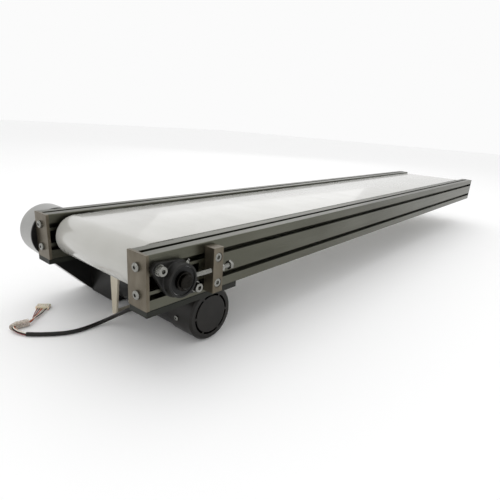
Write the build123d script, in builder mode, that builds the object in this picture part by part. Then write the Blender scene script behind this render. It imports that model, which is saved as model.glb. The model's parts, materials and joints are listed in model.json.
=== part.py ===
from build123d import *
import math
import os

os.makedirs("parts", exist_ok=True)

# Belt conveyor section: two slotted rails, a flat belt over a driven roller and an idler,
# a gear motor slung under the drive end and a guarded timing belt on the far side.
# +X runs along the belt to the idler end, +Y across it to the guarded side, +Z up.
# The origin is on the ground under the middle of the whole machine.

# Frame
length = 1700.0            # over both pairs of end plates
rail_gap = 240.0           # between the rails' inner faces
rail_width = 40.0
rail_height = 80.0
rail_corner = 1.5
slot_mouth = 8.2
slot_lip = 4.3
slot_pocket = 19.6         # widest part of the T, behind the lip
slot_floor = 9.0
slot_depth = 12.2
slot_heights = (20.0, 60.0)
plate_thickness = 5.0
plate_width = 42.0
web_cut = 22.0             # height of the pocket that lets a shaft into the rail's web
drive_web_cut = 88.0       # its length at the drive end
idler_pocket_depth = 30.0  # into the rail from its inner face
idler_pocket_length = 78.0

# Rollers and belt
roller_radius = 35.0
shell_wall = 3.5
shell_length = 229.0
shaft_radius = 10.0
drive_setback = 47.0       # roller axis from the drive plates' outer face
idler_setback = 46.0
roller_height = 40.0       # roller axis above the rails' underside
disc_thickness = 10.0
disc_recess = 6.0
belt_thickness = 2.0
belt_width = 218.0
belt_gap = 0.3             # running gap between a roller and the belt's inner face
bed_sheet = 2.0
bed_flange = 26.0
bed_clearance = 6.0        # between the bed's ends and the roller shells
bed_screw_count = 6
bed_screw_inset = 60.0

# Cross members, square tubes with a flange at both ends
tube_size = 30.0
tube_wall = 2.0
member_plate = 5.0
member_plate_width = 72.0
member_bolt_spacing = 52.0
member_clearance = 1.0     # to the bed's flange and the rails' faces
member_lift = 3.3          # above the belt's return run
member_shares = (0.2, 0.5, 0.8)    # places along the length

# Flange bearings on the drive shaft
bolt_pitch = 76.0
ear_radius = 9.8
flange_radius = 27.5
flange_height = 8.0
hub_radius = 24.5
hub_height = 20.0
bearing_od = 42.0
ring_width = 12.0
inner_ring_od = 27.4
inner_ring_width = 22.0
ball_radius = 3.0
ball_count = 9
ball_gap = 0.08
ring_gap = 1.0             # between the outer ring and the inner ring's shoulder

# Fasteners
m8 = 4.0                   # radii of the threads
m5 = 2.5
m8_head = 6.8
m8_head_height = 4.4
m5_head = 4.6
m5_head_height = 2.8
hex_flats = 13.0
hex_height = 5.3
nut_height = 5.0
fit = 0.05                 # radial, thread in its hole
washer_radius = 8.0
washer_thickness = 1.6

# Take-up
block_start = 104.0        # from the drive plates' outer face
block_length = 20.0
block_depth = 20.0
block_height = 70.0
take_up_offset = 13.0      # tension screw axis from the bearing's seat
tip_gap = 0.3              # screw tip to what it bears on
counterbore = 5.0
tension_bolt_tail = 19.0   # block to the underside of the bolt's head
lug_start = 36.0           # far lug, behind the roller axis
lug_length = 7.5
lug_height = 12.0
axle_block_length = 36.0   # sliding blocks that hold the idler's axle
block_clearance = 0.2      # above and below them in their pockets

# Drive train
drop = 96.0                # motor axis behind and below the roller axis
motor_wall = 3.5
motor_end_wall = 14.0
motor_shaft_radius = 5.0
cowl_radius = 46.0
cowl_wall = 1.5
cowl_edge = 3.0
cowl_reach = 20.0          # near rail's outer face to the cowl's end face
cowl_length = 53.0
fan_space = 26.0           # cowl's end face to the motor's end wall
cowl_screw_length = 9.0
cowl_screw_angles = (185, 45, 305)
grille_radii = (13.0, 20.0, 27.0, 34.0)
grille_slot = 3.6
spoke_width = 4.0
fan_tip_gap = 5.0          # the fan is this much smaller than the motor's body
fan_hub = 12.0
blade_count = 9
rotor_radius = 24.0
air_gap = 0.5
core_length = 105.0
gearbox_width = 90.0
gearbox_corner = 8.0
gearbox_wall = 5.0
gearbox_length = 72.0
pilot_radius = 20.0
gearbox_bolt_circle = 56.0
train_centres = 22.0       # motor axis to the cluster gear's axis
pinion_radius = 6.0        # pitch radii, two equal stages
gear_radius = 16.0
gear_width = 9.0
mesh_gap = 0.3
output_radius = 7.5
tooth_pitch = 8.0
driven_teeth = 24
driver_teeth = 16
tooth_depth = 2.6
pitch_rise = 0.7           # pitch line above the tooth tips
pulley_width = 12.0
pulley_flange = 2.0
flange_rise = 3.0
timing_thickness = 3.0
timing_gap = 0.3
timing_side_gap = 0.5

# Guard and supports
guard_radius = 48.0
guard_wall = 1.5
guard_edge = 4.0
back_plate = 3.0
guard_depth = 48.0
guard_forward = 8.3        # its upper end's centre ahead of the shaft
guard_drop = 7.3           # and below it
post_radius = 4.5
base_thickness = 9.0
base_length = 225.0
base_foot = 178.0          # length under the rails themselves
base_screw_places = (25.0, 84.0)    # clear of the motor and gearbox
base_notch = 62.0
cradle_thickness = 4.0
cradle_width = 26.0
cradle_foot = 12.0         # width left at the bottom of the tapered front leg
cradle_floor = 14.0
cradle_gap = 17.0          # leg to motor housing
cradle_flange = 22.0
cradle_y = 56.0            # far edge, from the belt's centre line

# Lead
cable_radius = 3.5
wire_radius = 0.9
wire_count = 5
wire_pitch = 4.0
sleeve_radius = 6.2
sleeve_wall = 0.8
grommet_length = 12.0
# Route points from the drive plates' outer face, the belt's centre line and the ground
cable_route = [
    (86, -50, 54), (66, -44, 50), (56, -28, 42), (54, -10, 30), (55, 6, 20), (48, 20, 10),
    (35, 27, 4.5), (17, 27, 3.5), (-1, 27, 3.5), (-20, 32, 3.5), (-36, 42, 3.5),
    (-50, 53, 3.5), (-60, 62, 3.5), (-68.5, 71, 3.5),
]
wire_route = [
    (-68.5, 71, 3.5), (-74, 80.5, 4.0), (-77.5, 92, 5.2), (-77.5, 102, 6.2), (-71, 107.5, 6.2),
    (-61.5, 105.5, 6.2), (-51, 104.5, 6.2), (-42, 111, 5.4),
]
sleeve_start, sleeve_end = 3, 6     # the wire route's points that the sleeve covers
fan_heading = (0.66, 0.75)          # direction in plan in which the wires run to their plug
fan_lengths = (16.0, 34.0, 52.0)
plug_size = (23.0, 15.0, 6.4)       # across the wires, along them, high
plug_entry = 3.0

# Derived places
guard_bolt_head = m5_head_height
near_reach = rail_gap / 2 + rail_width + hub_height + 7.0
far_reach = rail_gap / 2 + rail_width + back_plate + guard_depth + guard_bolt_head
belt_y = (near_reach - far_reach) / 2
motor_radius = cowl_radius - cowl_wall - 0.5
fan_radius = motor_radius - fan_tip_gap
guard_overhang = guard_radius + guard_forward - drive_setback
drive_x = (guard_overhang - hex_height - length) / 2
motor_z = guard_radius
rail_z = motor_z + drop - roller_height
rail_top = rail_z + rail_height
rail_mid = rail_z + rail_height / 2
roller_z = rail_z + roller_height
roller_x = drive_x + drive_setback
idler_end = drive_x + length
idler_x = idler_end - idler_setback
motor_x = roller_x + drop
rail_start = drive_x + plate_thickness
rail_length = length - 2 * plate_thickness
inner_face = rail_gap / 2
outer_face = inner_face + rail_width
belt_inner = roller_radius + belt_gap
belt_outer = belt_inner + belt_thickness
slot_levels = [rail_z + h for h in slot_heights]

sides = {"near": -1, "far": 1}
upright = (Align.CENTER, Align.CENTER, Align.MIN)
hanging = (Align.CENTER, Align.CENTER, Align.MAX)


def across(side, distance):
    # A place across the belt: distance out from its centre line on one side.
    return belt_y + side * distance


def facing(x, y, z, direction):
    # A plane at a point whose own z points along the given direction.
    return Plane(origin=(x, y, z), z_dir=direction)


def save(piece, label):
    piece.part.label = label
    export_step(piece.part, f"parts/{label}.step")


def socket_screw(radius, shank, head_radius, head_height, key, dome=0.0):
    # Head up from the seat at z 0, shank down, hexagon socket in the head.
    with BuildPart() as screw:
        Cylinder(head_radius, head_height, align=upright)
        if dome:
            fillet(screw.edges().group_by(Axis.Z)[-1], dome)
        Cylinder(radius, shank, align=hanging)
        with BuildSketch(Plane.XY.offset(head_height)):
            RegularPolygon(key / 2, 6, major_radius=False)
        extrude(amount=-head_height * 0.55, mode=Mode.SUBTRACT)
    return screw.part


def hex_bolt(radius, shank):
    with BuildPart() as bolt:
        with BuildSketch():
            RegularPolygon(hex_flats / 2, 6, major_radius=False)
        extrude(amount=hex_height)
        Cylinder(radius, shank, align=hanging)
        chamfer(bolt.edges().group_by(Axis.Z)[0], 0.8)
    return bolt.part


def ring(inner, outer, width):
    with BuildPart() as band:
        with BuildSketch():
            Circle(outer)
            Circle(inner, mode=Mode.SUBTRACT)
        extrude(amount=width)
    return band.part


# ---- Rails ----

def slot_outline(y, z, out_y, out_z):
    # The T of one slot, mouth at (y, z), opening towards (out_y, out_z).
    half_mouth, half_pocket, half_floor = slot_mouth / 2, slot_pocket / 2, slot_floor / 2
    shape = [
        (-1.0, half_mouth), (slot_lip, half_mouth), (slot_lip, half_pocket),
        (slot_lip + 1.6, half_pocket), (slot_depth, half_floor),
    ]
    shape += [(depth, -half) for depth, half in reversed(shape)]
    return [
        (y - out_y * depth + out_z * half, z - out_z * depth + out_y * half)
        for depth, half in shape
    ]


for name, side in sides.items():
    rail_y = across(side, inner_face + rail_width / 2)
    with BuildPart() as rail:
        with BuildSketch(Plane.YZ.offset(rail_start)):
            with Locations((rail_y, rail_mid)):
                RectangleRounded(rail_width, rail_height, rail_corner)
            for level in slot_levels:
                for out in (-1, 1):
                    Polygon(*slot_outline(rail_y + out * rail_width / 2, level, out, 0),
                            align=None, mode=Mode.SUBTRACT)
            for out in (-1, 1):
                Polygon(*slot_outline(rail_y, rail_mid + out * rail_height / 2, 0, out),
                        align=None, mode=Mode.SUBTRACT)
            with Locations(*[(rail_y, level) for level in slot_levels]):
                Circle(m8 + fit, mode=Mode.SUBTRACT)
            with Locations((rail_y, rail_mid)):
                Rectangle(rail_width - 8, web_cut - 8, mode=Mode.SUBTRACT)
        extrude(amount=rail_length)
        with Locations((rail_start, rail_y, rail_mid)):
            Box(drive_web_cut * 2, rail_width + 2, web_cut, mode=Mode.SUBTRACT)
        with Locations((rail_start + rail_length, across(side, inner_face), rail_mid)):
            Box(idler_pocket_length * 2, idler_pocket_depth * 2, web_cut,
                mode=Mode.SUBTRACT)
    save(rail, f"{name}_rail")

# ---- End plates and their screws ----

for name, side in sides.items():
    plate_y = across(side, outer_face - plate_width / 2)
    with BuildPart() as end_plate:
        with BuildSketch(Plane.YZ.offset(drive_x)):
            with Locations((plate_y, rail_mid)):
                RectangleRounded(plate_width, rail_height, 1.0)
            with Locations(*[(across(side, inner_face + rail_width / 2), level)
                             for level in slot_levels]):
                Circle(m8 + 2 * fit, mode=Mode.SUBTRACT)
        extrude(amount=plate_thickness)
    save(end_plate, f"{name}_drive_end_plate")

with BuildPart() as idler_end_plates:
    for side in sides.values():
        plate_y = across(side, inner_face + rail_width / 2)
        with BuildSketch(Plane.YZ.offset(idler_end - plate_thickness)):
            with Locations((plate_y, rail_mid)):
                RectangleRounded(rail_width, rail_height, 1.0)
            with Locations(*[(plate_y, level) for level in [*slot_levels, rail_mid]]):
                Circle(m8 + 2 * fit, mode=Mode.SUBTRACT)
        extrude(amount=plate_thickness)
save(idler_end_plates, "idler_end_plates")

end_screw = socket_screw(m8, plate_thickness + 20, m8_head, m8_head_height, 5.0, 2.2)
with BuildPart() as end_plate_screws:
    for side in sides.values():
        for level in slot_levels:
            y = across(side, inner_face + rail_width / 2)
            with Locations(facing(drive_x, y, level, (-1, 0, 0)),
                           facing(idler_end, y, level, (1, 0, 0))):
                add(end_screw)
save(end_plate_screws, "end_plate_screws")

# ---- Slider bed under the carrying run ----

bed_start = roller_x + roller_radius + bed_clearance
bed_end = idler_x - roller_radius - bed_clearance
bed_top = roller_z + belt_inner
bed_screw_step = (bed_end - bed_start - 2 * bed_screw_inset) / (bed_screw_count - 1)
bed_screw_xs = [bed_start + bed_screw_inset + i * bed_screw_step for i in range(bed_screw_count)]
with BuildPart() as slider_bed:
    with BuildSketch(Plane.YZ.offset(bed_start)):
        with Locations((belt_y, bed_top)):
            Rectangle(rail_gap - 1, bed_flange, align=(Align.CENTER, Align.MAX))
        with Locations((belt_y, bed_top - bed_sheet)):
            Rectangle(rail_gap - 1 - 2 * bed_sheet, bed_flange,
                      align=(Align.CENTER, Align.MAX), mode=Mode.SUBTRACT)
    extrude(amount=bed_end - bed_start)
    with Locations(*[(x, belt_y, slot_levels[1]) for x in bed_screw_xs]):
        Cylinder(m5 + fit, rail_gap + 10, rotation=(90, 0, 0), mode=Mode.SUBTRACT)
save(slider_bed, "slider_bed")

bed_screw = socket_screw(m5, slot_depth - 2, m5_head, m5_head_height, 3.0, 1.2)
with BuildPart() as bed_screws:
    for side in sides.values():
        y = across(side, inner_face - 0.5 - bed_sheet)
        with Locations(*[facing(x, y, slot_levels[1], (0, -side, 0))
                         for x in bed_screw_xs]):
            add(bed_screw)
save(bed_screws, "bed_screws")

# ---- Cross members ----

member_bottom = roller_z - belt_inner + member_lift
member_top = bed_top - bed_flange - member_clearance
member_z = (member_bottom + member_top) / 2
member_reach = inner_face - member_clearance / 2
member_xs = [drive_x + length * share for share in member_shares]
tube_bore = tube_size - 2 * tube_wall
with BuildPart() as cross_members:
    for x in member_xs:
        for side in sides.values():
            with Locations((x, across(side, member_reach - member_plate / 2), member_z)):
                Box(member_plate_width, member_plate, member_top - member_bottom)
        with BuildSketch(Plane.XZ.offset(-across(1, member_reach))):
            with Locations((x, member_z)):
                RectangleRounded(tube_size, tube_size, 2)
                RectangleRounded(tube_bore, tube_bore, 1, mode=Mode.SUBTRACT)
        extrude(amount=2 * member_reach)
        with Locations(*[(x + way * member_bolt_spacing / 2, belt_y, slot_levels[0])
                         for way in (-1, 1)]):
            Cylinder(m8 + fit, rail_gap, rotation=(90, 0, 0), mode=Mode.SUBTRACT)
save(cross_members, "cross_members")

member_screw = socket_screw(m8, member_plate + slot_depth - 3, m8_head, m8_head_height, 5, 2.2)
with BuildPart() as cross_member_screws:
    for side in sides.values():
        y = across(side, member_reach - member_plate)
        with Locations(*[facing(x + way * member_bolt_spacing / 2, y, slot_levels[0], (0, -side, 0))
                         for x in member_xs for way in (-1, 1)]):
            add(member_screw)
save(cross_member_screws, "cross_member_screws")

# ---- Conveyor belt, an endless loop round both rollers ----

with BuildPart() as conveyor_belt:
    with BuildSketch(Plane.XZ.offset(-across(1, belt_width / 2))):
        with Locations(((roller_x + idler_x) / 2, roller_z)):
            SlotCenterToCenter(idler_x - roller_x, 2 * belt_outer)
            SlotCenterToCenter(idler_x - roller_x, 2 * belt_inner, mode=Mode.SUBTRACT)
    extrude(amount=belt_width)
save(conveyor_belt, "conveyor_belt")

# ---- Drive roller: shell, two end discs and a through shaft ----


def turned(radius, length, x, y, z, bore=0.0):
    # A round piece along Y, centred on (x, y, z), added to the part being made.
    with Locations((x, y, z)):
        Cylinder(radius, length, rotation=(90, 0, 0))
        if bore:
            Cylinder(bore, length + 2, rotation=(90, 0, 0), mode=Mode.SUBTRACT)


def shell(x, label):
    with BuildPart() as roller_shell:
        turned(roller_radius, shell_length, x, belt_y, roller_z, roller_radius - shell_wall)
        chamfer(roller_shell.edges().filter_by(GeomType.CIRCLE).sort_by(Axis.Y)[0], 0.8)
    save(roller_shell, label)


shell(roller_x, "drive_roller_shell")
shell(idler_x, "idler_roller_shell")

disc_middle = shell_length / 2 - disc_recess - disc_thickness / 2
with BuildPart() as drive_roller_discs:
    for side in sides.values():
        turned(roller_radius - shell_wall, disc_thickness, roller_x,
               across(side, disc_middle), roller_z, shaft_radius)
save(drive_roller_discs, "drive_roller_discs")

seat_height = {"near": 0.0, "far": back_plate}
pulley_centre = outer_face + back_plate + hub_height + 15.0
shaft_far_end = pulley_centre + pulley_width / 2 + pulley_flange + 1.0
shaft_length = near_reach + shaft_far_end
with BuildPart() as drive_shaft:
    turned(shaft_radius, shaft_length, roller_x,
           belt_y + (shaft_far_end - near_reach) / 2, roller_z)
    chamfer(drive_shaft.edges().filter_by(GeomType.CIRCLE), 1.0)
save(drive_shaft, "drive_shaft")

# ---- Flange bearings: housings on the slant between the two slots ----

slot_step = slot_levels[1] - slot_levels[0]
bolt_run = math.sqrt(bolt_pitch**2 - slot_step**2)
# One bolt in each slot, the upper one towards the drive end.
housing_bolts = [
    (roller_x - bolt_run / 2, slot_levels[1]),
    (roller_x + bolt_run / 2, slot_levels[0]),
]
for name, side in sides.items():
    face = outer_face + seat_height[name]
    out = facing(roller_x, across(side, face), roller_z, (0, side, 0))
    with BuildPart() as housing:
        with BuildSketch(Plane.XZ.offset(-across(side, face))):
            with Locations((roller_x, roller_z)):
                Circle(flange_radius)
            with Locations(*housing_bolts):
                Circle(ear_radius)
            make_hull()
        extrude(amount=-side * flange_height)
        with Locations(out):
            Cone(flange_radius - 1, hub_radius, hub_height, align=upright)
            Cylinder(bearing_od / 2, hub_height + 1, align=upright, mode=Mode.SUBTRACT)
        with Locations(*[facing(x, across(side, face), z, (0, side, 0))
                         for x, z in housing_bolts]):
            Cylinder(m8 + fit, flange_height + 1, align=upright, mode=Mode.SUBTRACT)
    save(housing, f"{name}_bearing_housing")

ring_middle = hub_height - ring_width / 2 - 2.0
pitch_circle = (bearing_od / 2 + inner_ring_od / 2) / 2


def race(width, inner, outer, groove, neck=0.0, neck_width=0.0):
    # A bearing ring round Z with the balls' groove turned in it, and a slimmer long neck if asked.
    with BuildPart() as race_ring:
        Cylinder(outer, width)
        if neck:
            Cylinder(neck, neck_width)
        Cylinder(inner, max(width, neck_width) + 2, mode=Mode.SUBTRACT)
        Torus(pitch_circle, groove, mode=Mode.SUBTRACT)
    return race_ring.part


groove = ball_radius + ball_gap
outer_race = race(ring_width, pitch_circle + ring_gap, bearing_od / 2, groove)
inner_race = race(ring_width, shaft_radius, pitch_circle - ring_gap, groove,
                  inner_ring_od / 2, inner_ring_width)
idler_inner_race = race(ring_width, shaft_radius, pitch_circle - ring_gap, groove)
with BuildPart() as ball_row:
    with PolarLocations(pitch_circle, ball_count):
        Sphere(ball_radius)

drive_bearing_seats = [
    facing(roller_x, across(side, outer_face + seat_height[name] + ring_middle), roller_z,
           (0, side, 0))
    for name, side in sides.items()
]
idler_bearing_seats = [
    facing(idler_x, across(side, disc_middle), roller_z, (0, side, 0))
    for side in sides.values()
]


def set_at(seats, piece, label):
    with BuildPart() as group:
        with Locations(*seats):
            add(piece)
    save(group, label)


set_at(drive_bearing_seats, outer_race, "drive_bearing_outer_rings")
set_at(drive_bearing_seats, inner_race, "drive_bearing_inner_rings")
set_at(drive_bearing_seats, ball_row.part, "drive_bearing_balls")
set_at(idler_bearing_seats, outer_race, "idler_bearing_outer_rings")
set_at(idler_bearing_seats, idler_inner_race, "idler_bearing_inner_rings")
set_at(idler_bearing_seats, ball_row.part, "idler_bearing_balls")

bearing_bolt = socket_screw(m8, flange_height + washer_thickness + slot_depth - 2, m8_head,
                            8.0, 6.0, 0.8)
washer = ring(m8 + fit, washer_radius, washer_thickness)
with BuildPart() as bearing_bolts:
    for name, side in sides.items():
        seat = outer_face + seat_height[name] + flange_height
        for x, z in housing_bolts:
            with Locations(facing(x, across(side, seat), z, (0, side, 0))):
                add(washer)
            with Locations(facing(x, across(side, seat + washer_thickness), z, (0, side, 0))):
                add(bearing_bolt)
save(bearing_bolts, "bearing_bolts")

# ---- Idler: end discs on ball bearings, a dead axle and its sliding blocks ----

with BuildPart() as idler_roller_discs:
    for side in sides.values():
        turned(roller_radius - shell_wall, disc_thickness + 4, idler_x,
               across(side, disc_middle), roller_z, bearing_od / 2)
save(idler_roller_discs, "idler_roller_discs")

axle_end = inner_face + idler_pocket_depth - 2.0
with BuildPart() as idler_axle:
    turned(shaft_radius, 2 * axle_end, idler_x, belt_y, roller_z)
    chamfer(idler_axle.edges().filter_by(GeomType.CIRCLE), 1.0)
save(idler_axle, "idler_axle")

axle_block_width = idler_pocket_depth - 4.0
with BuildPart() as idler_axle_blocks:
    for side in sides.values():
        with Locations((idler_x, across(side, inner_face + 2 + axle_block_width / 2), roller_z)):
            Box(axle_block_length, axle_block_width, web_cut - 2 * block_clearance)
            Cylinder(shaft_radius + fit, axle_block_width + 2, rotation=(90, 0, 0),
                     mode=Mode.SUBTRACT)
save(idler_axle_blocks, "idler_axle_blocks")
adjuster_reach = idler_end - idler_x - axle_block_length / 2 - tip_gap
for name, side in sides.items():
    y = across(side, inner_face + rail_width / 2)
    with BuildPart() as idler_adjuster:
        with Locations(facing(idler_end, y, roller_z, (1, 0, 0))):
            add(hex_bolt(m8, adjuster_reach))
    save(idler_adjuster, f"{name}_idler_adjuster")

# ---- Take-up: a block on the near rail, a lug inside the guard, a screw in each ----

block_x = drive_x + block_start + block_length / 2
block_face = outer_face + block_depth
near_tip = roller_x + flange_radius - 1 + tip_gap
with BuildPart() as near_tension_block:
    with Locations((block_x, across(-1, outer_face + block_depth / 2), rail_mid)):
        Box(block_length, block_depth, block_height)
    chamfer(near_tension_block.edges().filter_by(Axis.Z), 0.6)
    with Locations(*[facing(block_x, across(-1, block_face), level, (0, -1, 0))
                     for level in slot_levels]):
        CounterBoreHole(m8 + fit, m8_head + 0.4, counterbore)
    with Locations((block_x, across(-1, outer_face + take_up_offset), roller_z)):
        Cylinder(m8 + fit, block_length + 2, rotation=(0, 90, 0), mode=Mode.SUBTRACT)
save(near_tension_block, "near_tension_block")

block_screw = socket_screw(m8, block_depth - counterbore + slot_depth - 2, m8_head,
                           m8_head_height, 6.0, 0.6)
set_at([facing(block_x, across(-1, block_face - counterbore), level, (0, -1, 0))
        for level in slot_levels], block_screw, "tension_block_screws")

bolt_seat = drive_x + block_start + block_length + tension_bolt_tail
set_at([facing(bolt_seat, across(-1, outer_face + take_up_offset), roller_z, (1, 0, 0))],
       hex_bolt(m8, bolt_seat - near_tip), "near_tension_bolt")

far_seat = outer_face + back_plate
lug_x = roller_x + lug_start
lug_depth = take_up_offset + 9
with BuildPart() as far_adjuster_lug:
    with Locations((lug_x + lug_length / 2, across(1, far_seat + lug_depth / 2), roller_z)):
        Box(lug_length, lug_depth, lug_height)
    with Locations((lug_x + lug_length / 2, across(1, far_seat + take_up_offset), roller_z)):
        Cylinder(m8 + fit, lug_length + 2, rotation=(0, 90, 0), mode=Mode.SUBTRACT)
save(far_adjuster_lug, "far_adjuster_lug")

set_screw_end = lug_x + lug_length + 0.5
with BuildPart() as far_tension_screw:
    with Locations(facing(set_screw_end, across(1, far_seat + take_up_offset), roller_z, (1, 0, 0))):
        Cylinder(m8, set_screw_end - near_tip, align=hanging)
    with BuildSketch(Plane.YZ.offset(set_screw_end)):
        with Locations((across(1, far_seat + take_up_offset), roller_z)):
            RegularPolygon(2.0, 6, major_radius=False)
    extrude(amount=-4, mode=Mode.SUBTRACT)
save(far_tension_screw, "far_tension_screw")

with BuildPart() as lock_nut:
    with BuildSketch():
        RegularPolygon(hex_flats / 2, 6, major_radius=False)
        Circle(m8 + fit, mode=Mode.SUBTRACT)
    extrude(amount=nut_height)
set_at([facing(block_x + block_length / 2, across(-1, outer_face + take_up_offset), roller_z, (1, 0, 0))],
       lock_nut.part, "lock_nut")

# ---- Base plate under the rails and the cradle that carries the motor ----

base_screw_xs = [drive_x + place for place in base_screw_places]
base_bottom = rail_z - base_thickness
with BuildPart() as motor_base_plate:
    with BuildSketch(Plane.XY.offset(base_bottom)):
        with Locations((drive_x + base_foot / 2, belt_y)):
            Rectangle(base_foot, 2 * outer_face)
        with Locations((drive_x + base_length / 2, belt_y)):
            Rectangle(base_length, rail_gap)
        with Locations((drive_x, belt_y)):
            Rectangle(2 * base_notch, rail_gap, mode=Mode.SUBTRACT)
        with Locations(*[(x, across(side, inner_face + rail_width / 2))
                         for x in base_screw_xs for side in sides.values()]):
            Circle(m8 + fit, mode=Mode.SUBTRACT)
    extrude(amount=base_thickness)
save(motor_base_plate, "motor_base_plate")

base_screw = socket_screw(m8, base_thickness + slot_depth - 2, m8_head, m8_head_height, 5.0, 2.2)
set_at([facing(x, across(side, inner_face + rail_width / 2), base_bottom, (0, 0, -1))
        for x in base_screw_xs for side in sides.values()], base_screw, "base_plate_screws")

leg_reach = motor_radius + cradle_gap
front_leg = motor_x - leg_reach - cradle_thickness
floor_top = motor_z - motor_radius
floor_bottom = floor_top - cradle_thickness
cradle_far = across(1, cradle_y)
foot_far = cradle_far - 2.0
with BuildPart() as motor_cradle:
    with BuildSketch(Plane.YZ.offset(front_leg)):
        Polygon((cradle_far - cradle_width, base_bottom), (cradle_far, base_bottom),
                (foot_far, floor_bottom), (foot_far - cradle_foot, floor_bottom), align=None)
    extrude(amount=cradle_thickness)
    with Locations((motor_x, cradle_far, floor_bottom)):
        Box(2 * leg_reach, cradle_floor, cradle_thickness,
            align=(Align.CENTER, Align.MAX, Align.MIN))
    with Locations((motor_x + leg_reach, cradle_far, floor_bottom)):
        Box(cradle_thickness, cradle_width, base_bottom - floor_bottom,
            align=(Align.MIN, Align.MAX, Align.MIN))
    for way in (-1, 1):
        with Locations((motor_x + way * (leg_reach - cradle_flange / 2), cradle_far, base_bottom)):
            Box(cradle_flange, cradle_width, cradle_thickness,
                align=(Align.CENTER, Align.MAX, Align.MAX))
save(motor_cradle, "motor_cradle")

# ---- Motor ----

cowl_y = across(-1, outer_face - cowl_reach)
motor_end = cowl_y + fan_space
gearbox_far = across(1, outer_face)
gearbox_near = gearbox_far - gearbox_length
motor_axis = (motor_x, motor_z)

cowl_screw_y = cowl_y + fan_space + motor_end_wall / 2
cowl_screw_planes = [
    Plane(origin=(motor_x + cowl_radius * math.cos(math.radians(angle)), cowl_screw_y,
                  motor_z + cowl_radius * math.sin(math.radians(angle))),
          z_dir=(math.cos(math.radians(angle)), 0, math.sin(math.radians(angle))))
    for angle in cowl_screw_angles
]


def drum(radius, start, end, bore=0.0, mode=Mode.ADD, height=0.0):
    # A round piece about the motor's axis, or one raised above it, between two places on Y.
    with Locations((motor_x, (start + end) / 2, motor_z + height)):
        Cylinder(radius, end - start, rotation=(90, 0, 0), mode=mode)
        if bore:
            Cylinder(bore, end - start + 1, rotation=(90, 0, 0), mode=Mode.SUBTRACT)


with BuildPart() as motor_housing:
    drum(motor_radius, motor_end, gearbox_near)
    drum(motor_radius - motor_wall, motor_end + motor_end_wall, gearbox_near, mode=Mode.SUBTRACT)
    drum(motor_shaft_radius + fit, motor_end, gearbox_near, mode=Mode.SUBTRACT)
    with Locations(*cowl_screw_planes):
        Cylinder(m5 + fit, 2 * cowl_screw_length + 1, mode=Mode.SUBTRACT)
save(motor_housing, "motor_housing")

core_start = motor_end + motor_end_wall + 22
core_end = core_start + core_length
with BuildPart() as motor_stator:
    drum(motor_radius - motor_wall - fit, core_start, core_end, rotor_radius + air_gap)
save(motor_stator, "motor_stator")

with BuildPart() as motor_rotor:
    drum(rotor_radius, core_start, core_end, motor_shaft_radius)
save(motor_rotor, "motor_rotor")

first_stage = gearbox_near + gearbox_wall + 8
second_stage = first_stage + gear_width + 6
with BuildPart() as motor_shaft:
    drum(motor_shaft_radius, cowl_y + cowl_wall + 4, first_stage)
    drum(pinion_radius - mesh_gap / 2, first_stage, first_stage + gear_width)
save(motor_shaft, "motor_shaft")

fan_start = cowl_y + cowl_wall + 5
fan_end = motor_end - 4
with BuildPart() as cooling_fan:
    drum(fan_hub, fan_start, fan_end)
    drum(fan_radius, fan_end - 2, fan_end)
    with BuildSketch(Plane.XZ.offset(-fan_start)):
        with Locations(motor_axis):
            with PolarLocations((fan_radius + fan_hub) / 2, blade_count):
                Rectangle(fan_radius - fan_hub + 2, 2)
    extrude(amount=fan_start - fan_end)
    drum(motor_shaft_radius, fan_start, fan_end, mode=Mode.SUBTRACT)
save(cooling_fan, "cooling_fan")

cowl_end = cowl_y + cowl_length
with BuildPart() as fan_cowl:
    drum(cowl_radius, cowl_y, cowl_end)
    chamfer(fan_cowl.edges().group_by(Axis.Y)[0], cowl_edge)
    drum(cowl_radius - cowl_wall, cowl_y + cowl_wall + cowl_edge / 2, cowl_end, mode=Mode.SUBTRACT)
    drum(cowl_radius - cowl_wall - cowl_edge, cowl_y + cowl_wall, cowl_end, mode=Mode.SUBTRACT)
    with BuildSketch(Plane.XZ.offset(-cowl_y)):
        with Locations(motor_axis):
            for radius in grille_radii:
                Circle(radius + grille_slot / 2)
                Circle(radius - grille_slot / 2, mode=Mode.SUBTRACT)
            with PolarLocations(24, 6):
                Rectangle(40, spoke_width, mode=Mode.SUBTRACT)
    extrude(amount=-cowl_wall, both=True, mode=Mode.SUBTRACT)
    with Locations(*cowl_screw_planes):
        Cylinder(m5 + fit, 8, mode=Mode.SUBTRACT)
save(fan_cowl, "fan_cowl")

cowl_screw = socket_screw(m5, cowl_screw_length, m5_head, m5_head_height, 3.0, 1.2)
set_at(cowl_screw_planes, cowl_screw, "cowl_screws")

# ---- Gearbox: housing, cluster gear, output gear and shaft ----

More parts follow.
